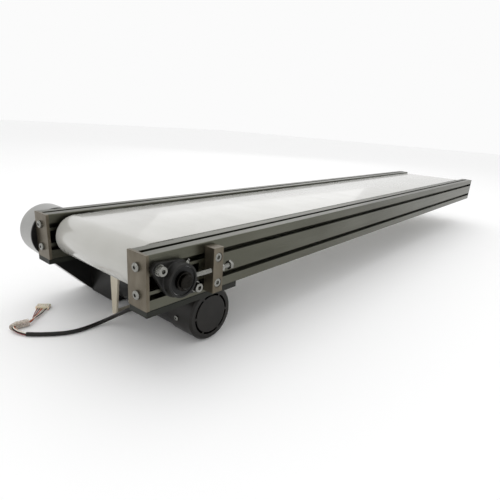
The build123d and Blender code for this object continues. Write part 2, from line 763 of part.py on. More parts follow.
with BuildPart() as gearbox_housing:
    with BuildSketch(Plane.XZ.offset(-gearbox_near)):
        with Locations(motor_axis):
            RectangleRounded(gearbox_width, gearbox_width, gearbox_corner)
    extrude(amount=-gearbox_length)
    with Locations((motor_x, (gearbox_near + gearbox_far) / 2, motor_z)):
        Box(gearbox_width - 2 * gearbox_wall, gearbox_length - 2 * gearbox_wall,
            gearbox_width - 2 * gearbox_wall, mode=Mode.SUBTRACT)
    drum(pilot_radius, gearbox_far - gearbox_wall - 12, gearbox_far + back_plate)
    drum(motor_shaft_radius + fit, gearbox_near, gearbox_near + gearbox_wall, mode=Mode.SUBTRACT)
    drum(output_radius + fit, gearbox_far - gearbox_wall - 12, gearbox_far + back_plate,
         mode=Mode.SUBTRACT)
    with Locations((motor_x, (gearbox_near + gearbox_far) / 2, motor_z + train_centres)):
        Cylinder(4 + fit, gearbox_length - 4, rotation=(90, 0, 0), mode=Mode.SUBTRACT)
    with Locations(facing(motor_x, gearbox_far, motor_z, (0, 1, 0))):
        with PolarLocations(gearbox_bolt_circle / 2, 4, start_angle=45):
            Cylinder(m5 + fit, 2 * (gearbox_wall + 2), mode=Mode.SUBTRACT)
save(gearbox_housing, "gearbox_housing")

with BuildPart() as cluster_gear:
    drum(4, gearbox_near + 2.5, gearbox_far - 2.5, height=train_centres)
    drum(gear_radius - mesh_gap / 2, first_stage, first_stage + gear_width, height=train_centres)
    drum(pinion_radius - mesh_gap / 2, first_stage + gear_width, second_stage + gear_width,
         height=train_centres)
save(cluster_gear, "cluster_gear")

output_start = first_stage + gear_width + 1.5
output_end = across(1, pulley_centre + pulley_width / 2 + pulley_flange + 1)
with BuildPart() as output_shaft:
    drum(output_radius, output_start, output_end)
    drum(gear_radius - mesh_gap / 2, second_stage, second_stage + gear_width)
save(output_shaft, "output_shaft")

# ---- Timing belt drive ----


def tip_radius(teeth):
    return teeth * tooth_pitch / (2 * math.pi) - pitch_rise


def pulley(teeth, bore, x, z, label):
    tip = tip_radius(teeth)
    with BuildPart() as wheel:
        with BuildSketch(Plane.XZ.offset(-across(1, pulley_centre - pulley_width / 2))):
            with Locations((x, z)):
                Circle(tip)
                with PolarLocations(tip, teeth):
                    Rectangle(2 * tooth_depth, tooth_pitch * 0.45, mode=Mode.SUBTRACT)
        extrude(amount=-pulley_width)
        for way in (-1, 1):
            with Locations((x, across(1, pulley_centre + way * (pulley_width + pulley_flange) / 2), z)):
                Cylinder(tip + flange_rise, pulley_flange, rotation=(90, 0, 0))
        with Locations((x, across(1, pulley_centre), z)):
            Cylinder(bore, pulley_width * 2, rotation=(90, 0, 0), mode=Mode.SUBTRACT)
    save(wheel, label)


pulley(driven_teeth, shaft_radius, roller_x, roller_z, "driven_pulley")
pulley(driver_teeth, output_radius, motor_x, motor_z, "drive_pulley")

timing_width = pulley_width - 2 * timing_side_gap
with BuildPart() as timing_belt:
    for rise, mode in ((timing_gap + timing_thickness, Mode.ADD), (timing_gap, Mode.SUBTRACT)):
        with BuildSketch(Plane.XZ.offset(-across(1, pulley_centre - timing_width / 2))):
            with Locations((roller_x, roller_z)):
                Circle(tip_radius(driven_teeth) + rise)
            with Locations(motor_axis):
                Circle(tip_radius(driver_teeth) + rise)
            make_hull()
        extrude(amount=-timing_width, mode=mode)
save(timing_belt, "timing_belt")

# ---- Guard: back plate with four posts, and a cover over both pulleys ----

# The guard's upper end sits ahead of and below the shaft, and its lower end stands on the ground.
guard_top = (roller_x - guard_forward, roller_z - guard_drop)
guard_foot = (guard_top[0] + guard_top[1] - motor_z, motor_z)
guard_middle = ((guard_top[0] + guard_foot[0]) / 2, (guard_top[1] + guard_foot[1]) / 2)
guard_span = math.dist(guard_top, guard_foot)
guard_turn = math.degrees(math.atan2(guard_foot[1] - guard_top[1], guard_foot[0] - guard_top[0]))
post_offset = guard_radius - guard_wall - post_radius - 0.5
posts = [
    (x + post_offset * math.cos(math.radians(angle)), z + post_offset * math.sin(math.radians(angle)))
    for (x, z), angle in ((guard_top, 180), (guard_top, 270), (guard_foot, 270), (guard_foot, 45))
]
cover_face = far_seat + guard_depth
cover_inside = cover_face - guard_wall


def stadium(distance, radius):
    # The guard's outline on a plane across the belt at a distance from the centre line.
    with BuildSketch(Plane.XZ.offset(-across(1, distance))) as outline:
        with Locations(Location((*guard_middle, 0), (0, 0, guard_turn))):
            SlotCenterToCenter(guard_span, 2 * radius)
    return outline.sketch


with BuildPart() as guard_back_plate:
    extrude(stadium(outer_face, guard_radius), amount=-back_plate)
    with Locations(*[(x, across(1, (far_seat + cover_inside) / 2), z) for x, z in posts]):
        Cylinder(post_radius, cover_inside - far_seat, rotation=(90, 0, 0))
    with Locations(*[(x, across(1, cover_inside), z) for x, z in posts]):
        Cylinder(m5 + fit, 24, rotation=(90, 0, 0), mode=Mode.SUBTRACT)
    for radius, places in ((shaft_radius + 2, [(roller_x, roller_z)]),
                           (pilot_radius + fit, [motor_axis]),
                           (m8 + fit, housing_bolts)):
        with Locations(*[(x, across(1, outer_face + back_plate / 2), z) for x, z in places]):
            Cylinder(radius, back_plate + 2, rotation=(90, 0, 0), mode=Mode.SUBTRACT)
    with Locations(facing(motor_x, gearbox_far, motor_z, (0, 1, 0))):
        with PolarLocations(gearbox_bolt_circle / 2, 4, start_angle=45):
            Cylinder(m5 + fit, 4 * back_plate, mode=Mode.SUBTRACT)
save(guard_back_plate, "guard_back_plate")

gearbox_screw = socket_screw(m5, back_plate + gearbox_wall, m5_head, 5.0, 4.0, 0.5)
with BuildPart() as gearbox_screws:
    with Locations(facing(motor_x, across(1, far_seat), motor_z, (0, 1, 0))):
        with PolarLocations(gearbox_bolt_circle / 2, 4, start_angle=45):
            add(gearbox_screw)
save(gearbox_screws, "gearbox_screws")

with BuildPart() as guard_cover:
    extrude(stadium(far_seat, guard_radius), amount=-guard_depth)
    fillet(guard_cover.edges().group_by(Axis.Y)[-1], guard_edge)
    extrude(stadium(far_seat, guard_radius - guard_wall), amount=guard_wall - guard_depth,
            mode=Mode.SUBTRACT)
    with Locations(*[(x, across(1, cover_face), z) for x, z in posts]):
        Cylinder(m5 + fit, 10, rotation=(90, 0, 0), mode=Mode.SUBTRACT)
save(guard_cover, "guard_cover")

cover_screw = socket_screw(m5, 10, m5_head, m5_head_height, 3.0, 1.2)
with BuildPart() as cover_screws:
    with Locations(*[facing(x, across(1, cover_face), z, (0, 1, 0)) for x, z in posts]):
        add(cover_screw)
save(cover_screws, "cover_screws")

# ---- Motor lead: grommet, cable, loose wires, a clear sleeve and a plug ----


def lead_point(point):
    return Vector(drive_x + point[0], belt_y + point[1], point[2])


def corner_radii(route):
    # The largest arc that both runs at each corner allow.
    radii = []
    for before, corner, after in zip(route, route[1:], route[2:]):
        run_in, run_out = corner - before, after - corner
        turn = math.radians(run_in.get_angle(run_out))
        radii.append(0.45 * min(run_in.length, run_out.length) / math.tan(turn / 2))
    return radii


def tube(route, radius):
    # A round lead along straight runs and tangent arcs.
    radii = corner_radii(route)
    with BuildPart() as lead:
        with BuildLine() as path:
            FilletPolyline(*route, radius=radii)
        with BuildSketch(Plane(origin=path.line @ 0, z_dir=path.line % 0)):
            Circle(radius)
        sweep()
    route_length = path.wire().length
    share = lead.part.volume / (math.pi * radius**2 * route_length)
    print("lead", round(route_length, 1), "mm long, radii", [round(r, 1) for r in radii],
          "volume over section times length", round(share, 4))
    return lead.part


cable_points = [lead_point(point) for point in cable_route]
with BuildPart() as cable_grommet:
    with Locations(facing(*cable_points[0], (1, 0, 0))):
        Cone(cable_radius + 1.2, 8.0, grommet_length + 3, align=upright)
    drum(motor_radius, motor_end, gearbox_near, mode=Mode.SUBTRACT)
save(cable_grommet, "cable_grommet")

with BuildPart() as motor_cable:
    add(tube(cable_points, cable_radius))
save(motor_cable, "motor_cable")

wire_middle = [lead_point(point) for point in wire_route]
bundle_radius = 2 * wire_radius / (2 * math.sin(math.pi / wire_count)) + 0.15
fan_along = Vector(*fan_heading, 0).normalized()
fan_across = Vector(-fan_along.Y, fan_along.X, 0)


def wire_points(number):
    # One wire of the bundle, side by side to the sleeve's end and then fanned out to its pin.
    angle = 2 * math.pi * (number + 0.25) / wire_count
    points = []
    for place, middle in enumerate(wire_middle):
        before = wire_middle[max(place - 1, 0)]
        after = wire_middle[min(place + 1, len(wire_middle) - 1)]
        level = Vector(after.X - before.X, after.Y - before.Y, 0).normalized()
        sideways = Vector(-level.Y, level.X, 0)
        points.append(middle + sideways * bundle_radius * math.cos(angle)
                      + Vector(0, 0, bundle_radius * math.sin(angle)))
    pin = (number - (wire_count - 1) / 2) * wire_pitch
    for share, reach in zip((0.45, 0.85, 1.0), fan_lengths):
        spot = wire_middle[-1] + fan_along * reach + fan_across * pin * share
        points.append(Vector(spot.X, spot.Y, plug_size[2] / 2 + (2.0 - 2.0 * share)))
    return points


with BuildPart() as lead_wires:
    for number in range(wire_count):
        add(tube(wire_points(number), wire_radius))
save(lead_wires, "lead_wires")

sleeve_points = wire_middle[sleeve_start:sleeve_end + 1]
sleeve_bore = tube(sleeve_points, sleeve_radius - sleeve_wall)
with BuildPart() as wire_sleeve:
    add(tube(sleeve_points, sleeve_radius))
    add(sleeve_bore, mode=Mode.SUBTRACT)
save(wire_sleeve, "wire_sleeve")

plug_face = wire_middle[-1] + fan_along * (fan_lengths[-1] - plug_entry)
plug_plane = Plane(origin=(plug_face.X, plug_face.Y, 0), x_dir=fan_across, z_dir=(0, 0, 1))
with BuildPart() as wire_plug:
    with Locations(plug_plane):
        with Locations((0, -plug_size[1] / 2, 0)):
            Box(*plug_size, align=upright)
        with Locations(*[((number - (wire_count - 1) / 2) * wire_pitch, 0, plug_size[2] / 2)
                         for number in range(wire_count)]):
            Cylinder(wire_radius + 0.3, 2 * plug_entry, rotation=(90, 0, 0), mode=Mode.SUBTRACT)
save(wire_plug, "wire_plug")
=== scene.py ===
import json
import math

import bmesh
import bpy
from mathutils import Matrix, Vector


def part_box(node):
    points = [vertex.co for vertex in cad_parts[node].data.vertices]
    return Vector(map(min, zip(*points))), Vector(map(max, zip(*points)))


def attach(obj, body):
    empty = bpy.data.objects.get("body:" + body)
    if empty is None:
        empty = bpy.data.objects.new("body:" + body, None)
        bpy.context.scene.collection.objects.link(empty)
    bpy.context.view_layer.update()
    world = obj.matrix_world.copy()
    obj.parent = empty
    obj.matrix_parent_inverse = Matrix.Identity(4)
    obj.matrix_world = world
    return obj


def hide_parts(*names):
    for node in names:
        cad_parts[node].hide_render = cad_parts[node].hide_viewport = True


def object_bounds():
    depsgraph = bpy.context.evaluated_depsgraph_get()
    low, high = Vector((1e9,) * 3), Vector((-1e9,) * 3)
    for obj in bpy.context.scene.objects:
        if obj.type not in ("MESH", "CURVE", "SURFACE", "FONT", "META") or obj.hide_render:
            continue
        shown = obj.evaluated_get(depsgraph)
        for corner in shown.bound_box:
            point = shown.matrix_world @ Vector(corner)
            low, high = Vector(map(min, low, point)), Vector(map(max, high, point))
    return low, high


# A belt conveyor section: the machined parts come with the frame, and this script gives
# them their finishes and adds castings, threads, a belt, knurls and the motor's lead.
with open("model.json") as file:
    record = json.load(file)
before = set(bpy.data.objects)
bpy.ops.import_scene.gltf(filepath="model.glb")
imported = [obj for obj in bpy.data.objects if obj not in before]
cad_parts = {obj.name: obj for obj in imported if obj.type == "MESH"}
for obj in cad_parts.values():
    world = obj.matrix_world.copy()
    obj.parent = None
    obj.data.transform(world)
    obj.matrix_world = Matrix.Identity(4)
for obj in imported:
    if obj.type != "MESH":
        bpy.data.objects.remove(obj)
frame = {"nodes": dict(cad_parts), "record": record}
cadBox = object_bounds()
nodes = frame["nodes"]
mm = 0.001
print("frame loaded")


# Helpers.

def linear(hexColour):
    channels = [int(hexColour[i:i + 2], 16) / 255 for i in (1, 3, 5)]
    return [c / 12.92 if c <= 0.04045 else ((c + 0.055) / 1.055) ** 2.4 for c in channels] + [1.0]


def addNode(tree, kind, inputs=None, **settings):
    node = tree.nodes.new(kind)
    for name, value in settings.items():
        setattr(node, name, value)
    for socket, value in (inputs or {}).items():
        if isinstance(value, bpy.types.NodeSocket):
            tree.links.new(value, node.inputs[socket])
        else:
            node.inputs[socket].default_value = value
    return node


def newMaterial(name, **surface):
    # Returns the tree, its shader and the Object coordinates, in metres.
    material = bpy.data.materials.new(name)
    material.use_nodes = True
    tree = material.node_tree
    tree.nodes.clear()
    shader = addNode(tree, "ShaderNodeBsdfPrincipled", surface)
    output = addNode(tree, "ShaderNodeOutputMaterial")
    tree.links.new(shader.outputs[0], output.inputs[0])
    place = addNode(tree, "ShaderNodeTexCoord").outputs["Object"]
    return material, tree, shader, place


def stretched(tree, place, sizes):
    # Object coordinates measured in grains of the given size, in mm along X, Y and Z.
    scale = [1000 / s for s in sizes]
    return addNode(tree, "ShaderNodeMapping", {"Vector": place, "Scale": scale}).outputs[0]


def noise(tree, vector, detail=3.0, rough=0.55):
    settings = {"Vector": vector, "Scale": 1.0, "Detail": detail, "Roughness": rough}
    return addNode(tree, "ShaderNodeTexNoise", settings).outputs["Fac"]


def ramp(tree, value, low, high, first, second):
    # Blends two colours or greys as a pattern goes from low to high.
    node = addNode(tree, "ShaderNodeValToRGB", {"Fac": value})
    node.color_ramp.elements[0].position = low
    node.color_ramp.elements[1].position = high
    for element, colour in zip(node.color_ramp.elements, (first, second)):
        element.color = linear(colour) if isinstance(colour, str) else (colour, colour, colour, 1)
    return node.outputs["Color"]


def relief(tree, shader, height, depth, edge=0.0):
    # Bump of a depth in mm over edges that catch light as if rounded by so many mm.
    settings = {"Height": height, "Distance": depth * mm, "Strength": 1.0}
    if edge:
        rounded = addNode(tree, "ShaderNodeBevel", {"Radius": edge * mm}, samples=4)
        settings["Normal"] = rounded.outputs[0]
    bump = addNode(tree, "ShaderNodeBump", settings)
    tree.links.new(bump.outputs[0], shader.inputs["Normal"])


# Materials, one function for each way of making a surface.

def anodisedExtrusion():
    # Anodised aluminium: a soft even sheen with faint die lines along the profile.
    material, tree, shader, place = newMaterial("anodised aluminium extrusion", Metallic=1.0)
    dieLines = noise(tree, stretched(tree, place, (160, 0.9, 0.9)), 4)
    clouding = noise(tree, stretched(tree, place, (220, 60, 60)), 2)
    colour = ramp(tree, clouding, 0.3, 0.7, "#505046", "#5E5E54")
    tree.links.new(colour, shader.inputs["Base Color"])
    tree.links.new(ramp(tree, dieLines, 0.3, 0.7, 0.27, 0.40), shader.inputs["Roughness"])
    relief(tree, shader, dieLines, 0.012, 0.35)
    return material


def milledPlate():
    # Milled aluminium plate: fine cutter lines upwards and a warm dull sheen.
    material, tree, shader, place = newMaterial("milled aluminium plate", Metallic=0.85)
    cutterLines = noise(tree, stretched(tree, place, (0.8, 0.8, 26)), 4)
    handling = noise(tree, stretched(tree, place, (18, 18, 30)), 3)
    colour = ramp(tree, handling, 0.3, 0.75, "#5C5548", "#70695C")
    tree.links.new(colour, shader.inputs["Base Color"])
    tree.links.new(ramp(tree, cutterLines, 0.3, 0.7, 0.32, 0.46), shader.inputs["Roughness"])
    relief(tree, shader, cutterLines, 0.02, 0.4)
    return material


def metal(name, dark, light, grain, roughness, depth, edge=0.3):
    # Plated, ground or turned metal: tone and gloss that drift over a grain given in mm.
    material, tree, shader, place = newMaterial(name, Metallic=1.0)
    pattern = noise(tree, stretched(tree, place, grain), 4)
    tree.links.new(ramp(tree, pattern, 0.3, 0.7, dark, light), shader.inputs["Base Color"])
    tree.links.new(ramp(tree, pattern, 0.3, 0.7, *roughness), shader.inputs["Roughness"])
    relief(tree, shader, pattern, depth, edge)
    return material


def galvanisedSheet():
    # Hot-dipped zinc: angular spangles a few millimetres across, each with its own grey.
    material, tree, shader, place = newMaterial("galvanised steel sheet", Metallic=1.0)
    grains = stretched(tree, place, (9, 9, 9))
    spangle = addNode(tree, "ShaderNodeTexVoronoi", {"Vector": grains, "Scale": 1.0})
    tone = addNode(tree, "ShaderNodeSeparateColor", {"Color": spangle.outputs["Color"]}).outputs[0]
    tree.links.new(ramp(tree, tone, 0.1, 0.9, "#9B9D9E", "#C2C4C5"), shader.inputs["Base Color"])
    tree.links.new(ramp(tree, tone, 0.1, 0.9, 0.28, 0.46), shader.inputs["Roughness"])
    relief(tree, shader, tone, 0.02, 0.3)
    return material


def paint(name, dark, light, roughness, peel, depth, grain=45.0, metallic=0.0, edge=0.5):
    # Sprayed or powder-coated paint: even colour, slight clouding and an orange-peel skin.
    gloss = {"Metallic": metallic, "Specular IOR Level": 0.22}
    material, tree, shader, place = newMaterial(name, **gloss)
    clouding = noise(tree, stretched(tree, place, (grain, grain, grain)), 3)
    skin = noise(tree, stretched(tree, place, (peel, peel, peel)), 2)
    tree.links.new(ramp(tree, clouding, 0.3, 0.7, dark, light), shader.inputs["Base Color"])
    tree.links.new(ramp(tree, clouding, 0.3, 0.7, *roughness), shader.inputs["Roughness"])
    relief(tree, shader, skin, depth, edge)
    return material


def beltCover():
    # Calendered PVC: a smooth glossy white skin with long shallow waves from the press.
    surface = {"IOR": 1.52, "Coat Weight": 0.5, "Coat Roughness": 0.05}
    material, tree, shader, place = newMaterial("glossy PVC belt cover", **surface)
    waves = noise(tree, stretched(tree, place, (90, 140, 90)), 2)
    scuffs = noise(tree, stretched(tree, place, (60, 3, 60)), 5)
    tree.links.new(ramp(tree, waves, 0.3, 0.7, "#A8A7A1", "#B6B5B0"), shader.inputs["Base Color"])
    tree.links.new(ramp(tree, scuffs, 0.35, 0.75, 0.18, 0.28), shader.inputs["Roughness"])
    relief(tree, shader, waves, 0.25)
    return material


def plastic(name, dark, light, roughness, grain, depth, **surface):
    # Moulded or extruded plastic and rubber: a fine moulded grain, nearly even colour.
    material, tree, shader, place = newMaterial(name, **{"Specular IOR Level": 0.25, **surface})
    pattern = noise(tree, stretched(tree, place, (grain, grain, grain)), 3)
    tree.links.new(ramp(tree, pattern, 0.3, 0.7, dark, light), shader.inputs["Base Color"])
    tree.links.new(ramp(tree, pattern, 0.3, 0.7, *roughness), shader.inputs["Roughness"])
    relief(tree, shader, pattern, depth)
    return material


finish = {
    "anodised_aluminium": anodisedExtrusion(),
    "plate_aluminium": milledPlate(),
    "white_belt": beltCover(),
    # Dull zinc plate: a soft mirror with barrel-plating mottle.
    "zinc_steel": metal("zinc-plated steel", "#747470", "#94948F", (2, 2, 2), (0.16, 0.28), 0.01, 0.25),
    # Ground bearing steel: near mirror, faint grinding marks round it.
    "bearing_steel": metal("ground bearing steel", "#8E8E8E", "#A5A5A4", (5, 0.4, 5), (0.12, 0.2), 0.004),
    # Drawn shaft steel: darker, an oil film evens it out.
    "shaft_steel": metal("drawn steel bar", "#6E6D69", "#85847F", (4, 0.5, 4), (0.22, 0.34), 0.008),
    # Turned tube: tool lines round it, every half millimetre or so.
    "roller_steel": metal("turned steel tube", "#8A887C", "#A09E92", (40, 0.5, 40), (0.25, 0.36), 0.01),
    # Enamel over cast iron: the sand's grain shows through the black.
    "black_cast": paint("black enamel on cast iron", "#121211", "#1F1E1C", (0.32, 0.48), 1.6, 0.09, 20),
    # Motor enamel: smoother, semi-gloss.
    "motor_black": paint("black motor enamel", "#141413", "#1C1B19", (0.30, 0.40), 1.1, 0.03, 30),
    "cowl_black": paint("black enamel on pressed steel", "#171614", "#211F1C", (0.28, 0.38), 1.0, 0.02, 25),
    # Machinery paint: a dull green that is nearly black.
    "base_green": paint("grey-green machinery paint", "#151611", "#20221B", (0.42, 0.55), 1.5, 0.04, 50),
    "bracket_light": paint("cream machinery paint", "#BDB5A2", "#CEC7B6", (0.35, 0.48), 1.3, 0.03, 40),
    "bed_steel": galvanisedSheet(),
    # Powder coat: silver-grey with a fine even orange peel.
    "guard_silver": paint("silver-white powder coat", "#929290", "#A4A4A1", (0.28, 0.36), 1.2, 0.03,
                          60, 0.45),
    "back_black": paint("black paint on steel sheet", "#0E0E0E", "#171716", (0.38, 0.5), 1.2, 0.03, 35),
    # Glass-filled nylon: matt black with a moulded grain.
    "black_plastic": plastic("black moulded nylon", "#0B0B0B", "#151514", (0.42, 0.56), 0.7, 0.03),
    # Neoprene: very dark and dull.
    "belt_rubber": plastic("moulded neoprene", "#0C0C0C", "#161615", (0.6, 0.75), 0.6, 0.04),
    # Stacked laminations: bands half a millimetre thick along the motor's axis.
    "core_steel": metal("stacked steel laminations", "#4A4845", "#6A6762", (30, 0.6, 30), (0.4, 0.55), 0.05),
    "grommet_rubber": plastic("moulded black rubber", "#0A0A0A", "#131312", (0.55, 0.7), 0.6, 0.03),
    # PVC sheath: satin black, drawn smooth.
    "cable_pvc": plastic("black PVC sheath", "#0D0C0B", "#171513", (0.30, 0.42), 1.5, 0.02),
    # Milky PVC tubing: light goes through it and blurs.
    "clear_sleeve": plastic("milky PVC sleeve", "#D9CFC2", "#E6DED2", (0.18, 0.3), 3.0, 0.05,
                            **{"Transmission Weight": 0.55, "Alpha": 0.8}),
    # Natural nylon: cream, waxy, a little translucent.
    "plug_nylon": plastic("natural nylon", "#CFC4AC", "#DED5C1", (0.32, 0.42), 1.0, 0.02,
                          **{"Subsurface Weight": 0.25, "Subsurface Scale": 0.002}),
}
wireColours = ("#15140F", "#E2DDD0", "#B9471B", "#5B3A1E", "#7E1B16")
wireFinishes = [
    plastic(f"PVC wire insulation {number}", colour, colour, (0.28, 0.38), 1.0, 0.01)
    for number, colour in enumerate(wireColours, 1)
]
contactMetal = metal("tinned brass", "#B9B4A4", "#D3CFC2", (1, 1, 1), (0.2, 0.3), 0.003)

# Black oxide on steel: nearly black, with an oily gloss.
blackened = metal("black oxide steel", "#151412", "#24221F", (4, 0.5, 4), (0.2, 0.3), 0.006)

slotOf = {row["node"]: row["material_slot"] for row in frame["record"]["subparts"]}
for name, node in nodes.items():
    if slotOf[name] in finish:
        node.data.materials.clear()
        node.data.materials.append(finish[slotOf[name]])
for name in ("drive_shaft", "drive_bearing_inner_rings"):
    nodes[name].data.materials[0] = blackened
print("finishes on", len(nodes), "nodes")


# Making pieces.

def newPiece(name, data, slotName, body, stands, material=None):
    # A piece at the origin with a finish, on a body, standing for CAD nodes.
    piece = bpy.data.objects.new(name, data)
    bpy.context.scene.collection.objects.link(piece)
    data.materials.clear()
    data.materials.append(material or finish[slotName])
    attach(piece, body)
    if stands:
        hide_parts(*stands)
    return piece


def meshOf(rings, closedAlong=False):
    # A skin through rings of points, closed round each ring.
    bm = bmesh.new()
    rows = [[bm.verts.new(p) for p in points] for points in rings]
    pairs = list(zip(rows, rows[1:]))
    if closedAlong:
        pairs.append((rows[-1], rows[0]))
    for low, high in pairs:
        count = len(low)
        for i in range(count):
            bm.faces.new((low[i], low[(i + 1) % count], high[(i + 1) % count], high[i]))
    if not closedAlong:
        bm.faces.new(list(reversed(rows[0])))
        bm.faces.new(rows[-1])
    bmesh.ops.recalc_face_normals(bm, faces=bm.faces)
    mesh = bpy.data.meshes.new("skin")
    bm.to_mesh(mesh)
    bm.free()
    return mesh


def smoothMesh(mesh, angle=35):
    bm = bmesh.new()
    bm.from_mesh(mesh)
    limit = math.radians(angle)
    for face in bm.faces:
        face.smooth = True
    for edge in bm.edges:
        edge.smooth = len(edge.link_faces) != 2 or edge.calc_face_angle(0) < limit
    bm.to_mesh(mesh)
    bm.free()
    return mesh


def joined(meshes):
    bm = bmesh.new()
    for mesh in meshes:
        bm.from_mesh(mesh)
    whole = bpy.data.meshes.new("joined")
    bm.to_mesh(whole)
    bm.free()
    return whole


def axisPoint(origin, along, side, up, distance, radius, angle):
    return (origin + along * distance + side * radius * math.cos(angle)
            + up * radius * math.sin(angle))


# Conveyor belt: an endless band with softly cut edges.

belt = {"thickness": 0.002, "stepsRound": 96, "runStep": 0.03, "edgeRadius": 0.0006}
low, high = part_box("conveyor_belt")
outer = (high.z - low.z) / 2
inner = outer - belt["thickness"]
centreZ = (high.z + low.z) / 2
driveX = low.x + outer
idlerX = high.x - outer


def beltLine():
    # Places and outward directions once round the loop.
    line = []
    steps = belt["stepsRound"] // 2
    runs = math.ceil((idlerX - driveX) / belt["runStep"])
    for i in range(steps):
        angle = math.pi / 2 + math.pi * i / steps
        line.append((driveX, math.cos(angle), math.sin(angle)))
    for i in range(runs):
        line.append((driveX + (idlerX - driveX) * i / runs, 0.0, -1.0))
    for i in range(steps):
        angle = -math.pi / 2 + math.pi * i / steps
        line.append((idlerX, math.cos(angle), math.sin(angle)))
    for i in range(runs):
        line.append((idlerX - (idlerX - driveX) * i / runs, 0.0, 1.0))
    return line


def beltSection():
    # (across, distance from the roller's axis) round the band's cross-section.
    r = belt["edgeRadius"]
    corners = [(high.y - r, outer - r, 0), (low.y + r, outer - r, 1),
               (low.y + r, inner + r, 2), (high.y - r, inner + r, 3)]
    section = []
    for y, d, quarter in corners:
        for step in range(4):
            angle = math.radians(90 * quarter + 30 * step)
            section.append((y + r * math.cos(angle), d + r * math.sin(angle)))
    return section


rings = [
    [Vector((x + outX * d, y, centreZ + outZ * d)) for y, d in beltSection()]
    for x, outX, outZ in beltLine()
]
newPiece("conveyorBelt", smoothMesh(meshOf(rings, closedAlong=True), 40), "white_belt", "frame",
         ["conveyor_belt"])
print("conveyor belt made")

# Bearing castings: fillets where the hub meets its flange.

casting = {"grain": 0.0007, "rounds": 7}


def castCopy(name, nodeName):
    # The node's own solid, remeshed and smoothed until its inside corners are filleted.
    mesh = nodes[nodeName].data.copy()
    bm = bmesh.new()
    bm.from_mesh(mesh)
    bmesh.ops.remove_doubles(bm, verts=bm.verts, dist=1e-5)
    bm.to_mesh(mesh)
    bm.free()
    rough = bpy.data.objects.new("rough", mesh)
    bpy.context.scene.collection.objects.link(rough)
    remesh = rough.modifiers.new("remesh", "REMESH")
    remesh.mode = "VOXEL"
    remesh.voxel_size = casting["grain"]
    soften = rough.modifiers.new("soften", "SMOOTH")
    soften.factor = 0.5
    soften.iterations = casting["rounds"]
    evaluated = rough.evaluated_get(bpy.context.evaluated_depsgraph_get())
    result = bpy.data.meshes.new_from_object(evaluated)
    bpy.data.objects.remove(rough)
    for polygon in result.polygons:
        polygon.use_smooth = True
    return newPiece(name, result, "black_cast", "frame", [nodeName])


for sideName in ("near", "far"):
    castCopy(f"{sideName}BearingCasting", f"{sideName}_bearing_housing")
print("castings made")

# Screws: threads, hexagon heads and nuts.

thread = {"radius": 0.00398, "pitch": 0.00125, "depth": 0.00062, "around": 24, "perTurn": 6}
hexagon = {"flats": 0.013, "height": 0.0053, "chamfer": 0.0007}


def threadRings(start, end):
    # Rings along +X from start to end, with a helical groove.
    steps = max(2, int((end.x - start.x) / thread["pitch"] * thread["perTurn"]))
    rows = []
    for step in range(steps + 1):
        x = start.x + (end.x - start.x) * step / steps
        ease = min(1.0, min(x - start.x, end.x - x) / thread["pitch"] + 0.15)
        row = []
        for i in range(thread["around"]):
            angle = math.tau * i / thread["around"]
            phase = (x - start.x) / thread["pitch"] - angle / math.tau
            groove = abs(2 * (phase - math.floor(phase)) - 1)
            r = thread["radius"] - thread["depth"] * (groove if ease > 0.99 else 1 - ease * 0.5)
            row.append(Vector((x, start.y + r * math.cos(angle), start.z + r * math.sin(angle))))
        rows.append(row)
    return rows


def hexRadius(angle):
    return hexagon["flats"] / 2 / math.cos((angle + math.pi / 6) % (math.pi / 3) - math.pi / 6)


def hexRings(x, y, z, height, bore=0.0):
    # A hexagon along +X with both faces chamfered round, bored through for a nut.
    flat, bevel = hexagon["flats"] / 2, hexagon["chamfer"]
    levels = [(0.0, flat * 0.98), (bevel, 1.0), (height - bevel, 1.0), (height, flat * 0.98)]
    rows = []
    for offset, limit in levels:
        row = []
        for i in range(48):
            angle = math.tau * i / 48
            r = min(hexRadius(angle), limit)
            row.append(Vector((x + offset, y + r * math.cos(angle), z + r * math.sin(angle))))
        rows.append(row)
    for offset in ([height, 0.0] if bore else []):
        rows.append([Vector((x + offset, y + bore * math.cos(math.tau * i / 48),
                             z + bore * math.sin(math.tau * i / 48))) for i in range(48)])
    return rows


def threadedBolt(name, nodeName, body, headed=True):
    low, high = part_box(nodeName)
    y, z = (low.y + high.y) / 2, (low.z + high.z) / 2
    seat = high.x - (hexagon["height"] if headed else 0.0)
    meshes = [meshOf(threadRings(Vector((low.x, y, z)), Vector((seat, y, z))))]
    if headed:
        meshes.append(meshOf(hexRings(seat, y, z, hexagon["height"])))
    newPiece(name, smoothMesh(joined(meshes), 28), "zinc_steel", body, [nodeName])


threadedBolt("nearTensionBolt", "near_tension_bolt", "near_take_up")
threadedBolt("farTensionScrew", "far_tension_screw", "far_take_up", headed=False)
threadedBolt("nearIdlerAdjuster", "near_idler_adjuster", "near_tail_adjuster")
threadedBolt("farIdlerAdjuster", "far_idler_adjuster", "far_tail_adjuster")


def looseSolids(nodeName):
    # Boxes round the separate solids of a node.
    bm = bmesh.new()
    bm.from_mesh(nodes[nodeName].data)
    bmesh.ops.remove_doubles(bm, verts=bm.verts, dist=1e-5)
    left, boxes = set(bm.verts), []
    while left:
        front, group = [left.pop()], []
        while front:
            vert = front.pop()
            group.append(vert.co.copy())
            for edge in vert.link_edges:
                other = edge.other_vert(vert)
                if other in left:
                    left.remove(other)
                    front.append(other)
        boxes.append(([min(p[i] for p in group) for i in range(3)],
                      [max(p[i] for p in group) for i in range(3)]))
    bm.free()
    return sorted(boxes)


nutMeshes = []
for low, high in looseSolids("lock_nut"):
    y, z = (low[1] + high[1]) / 2, (low[2] + high[2]) / 2
    nutMeshes.append(meshOf(hexRings(low[0], y, z, high[0] - low[0], 0.00405), closedAlong=True))
newPiece("lockNuts", smoothMesh(joined(nutMeshes), 28), "zinc_steel", "frame", ["lock_nut"])
print("threaded screws and nuts made")


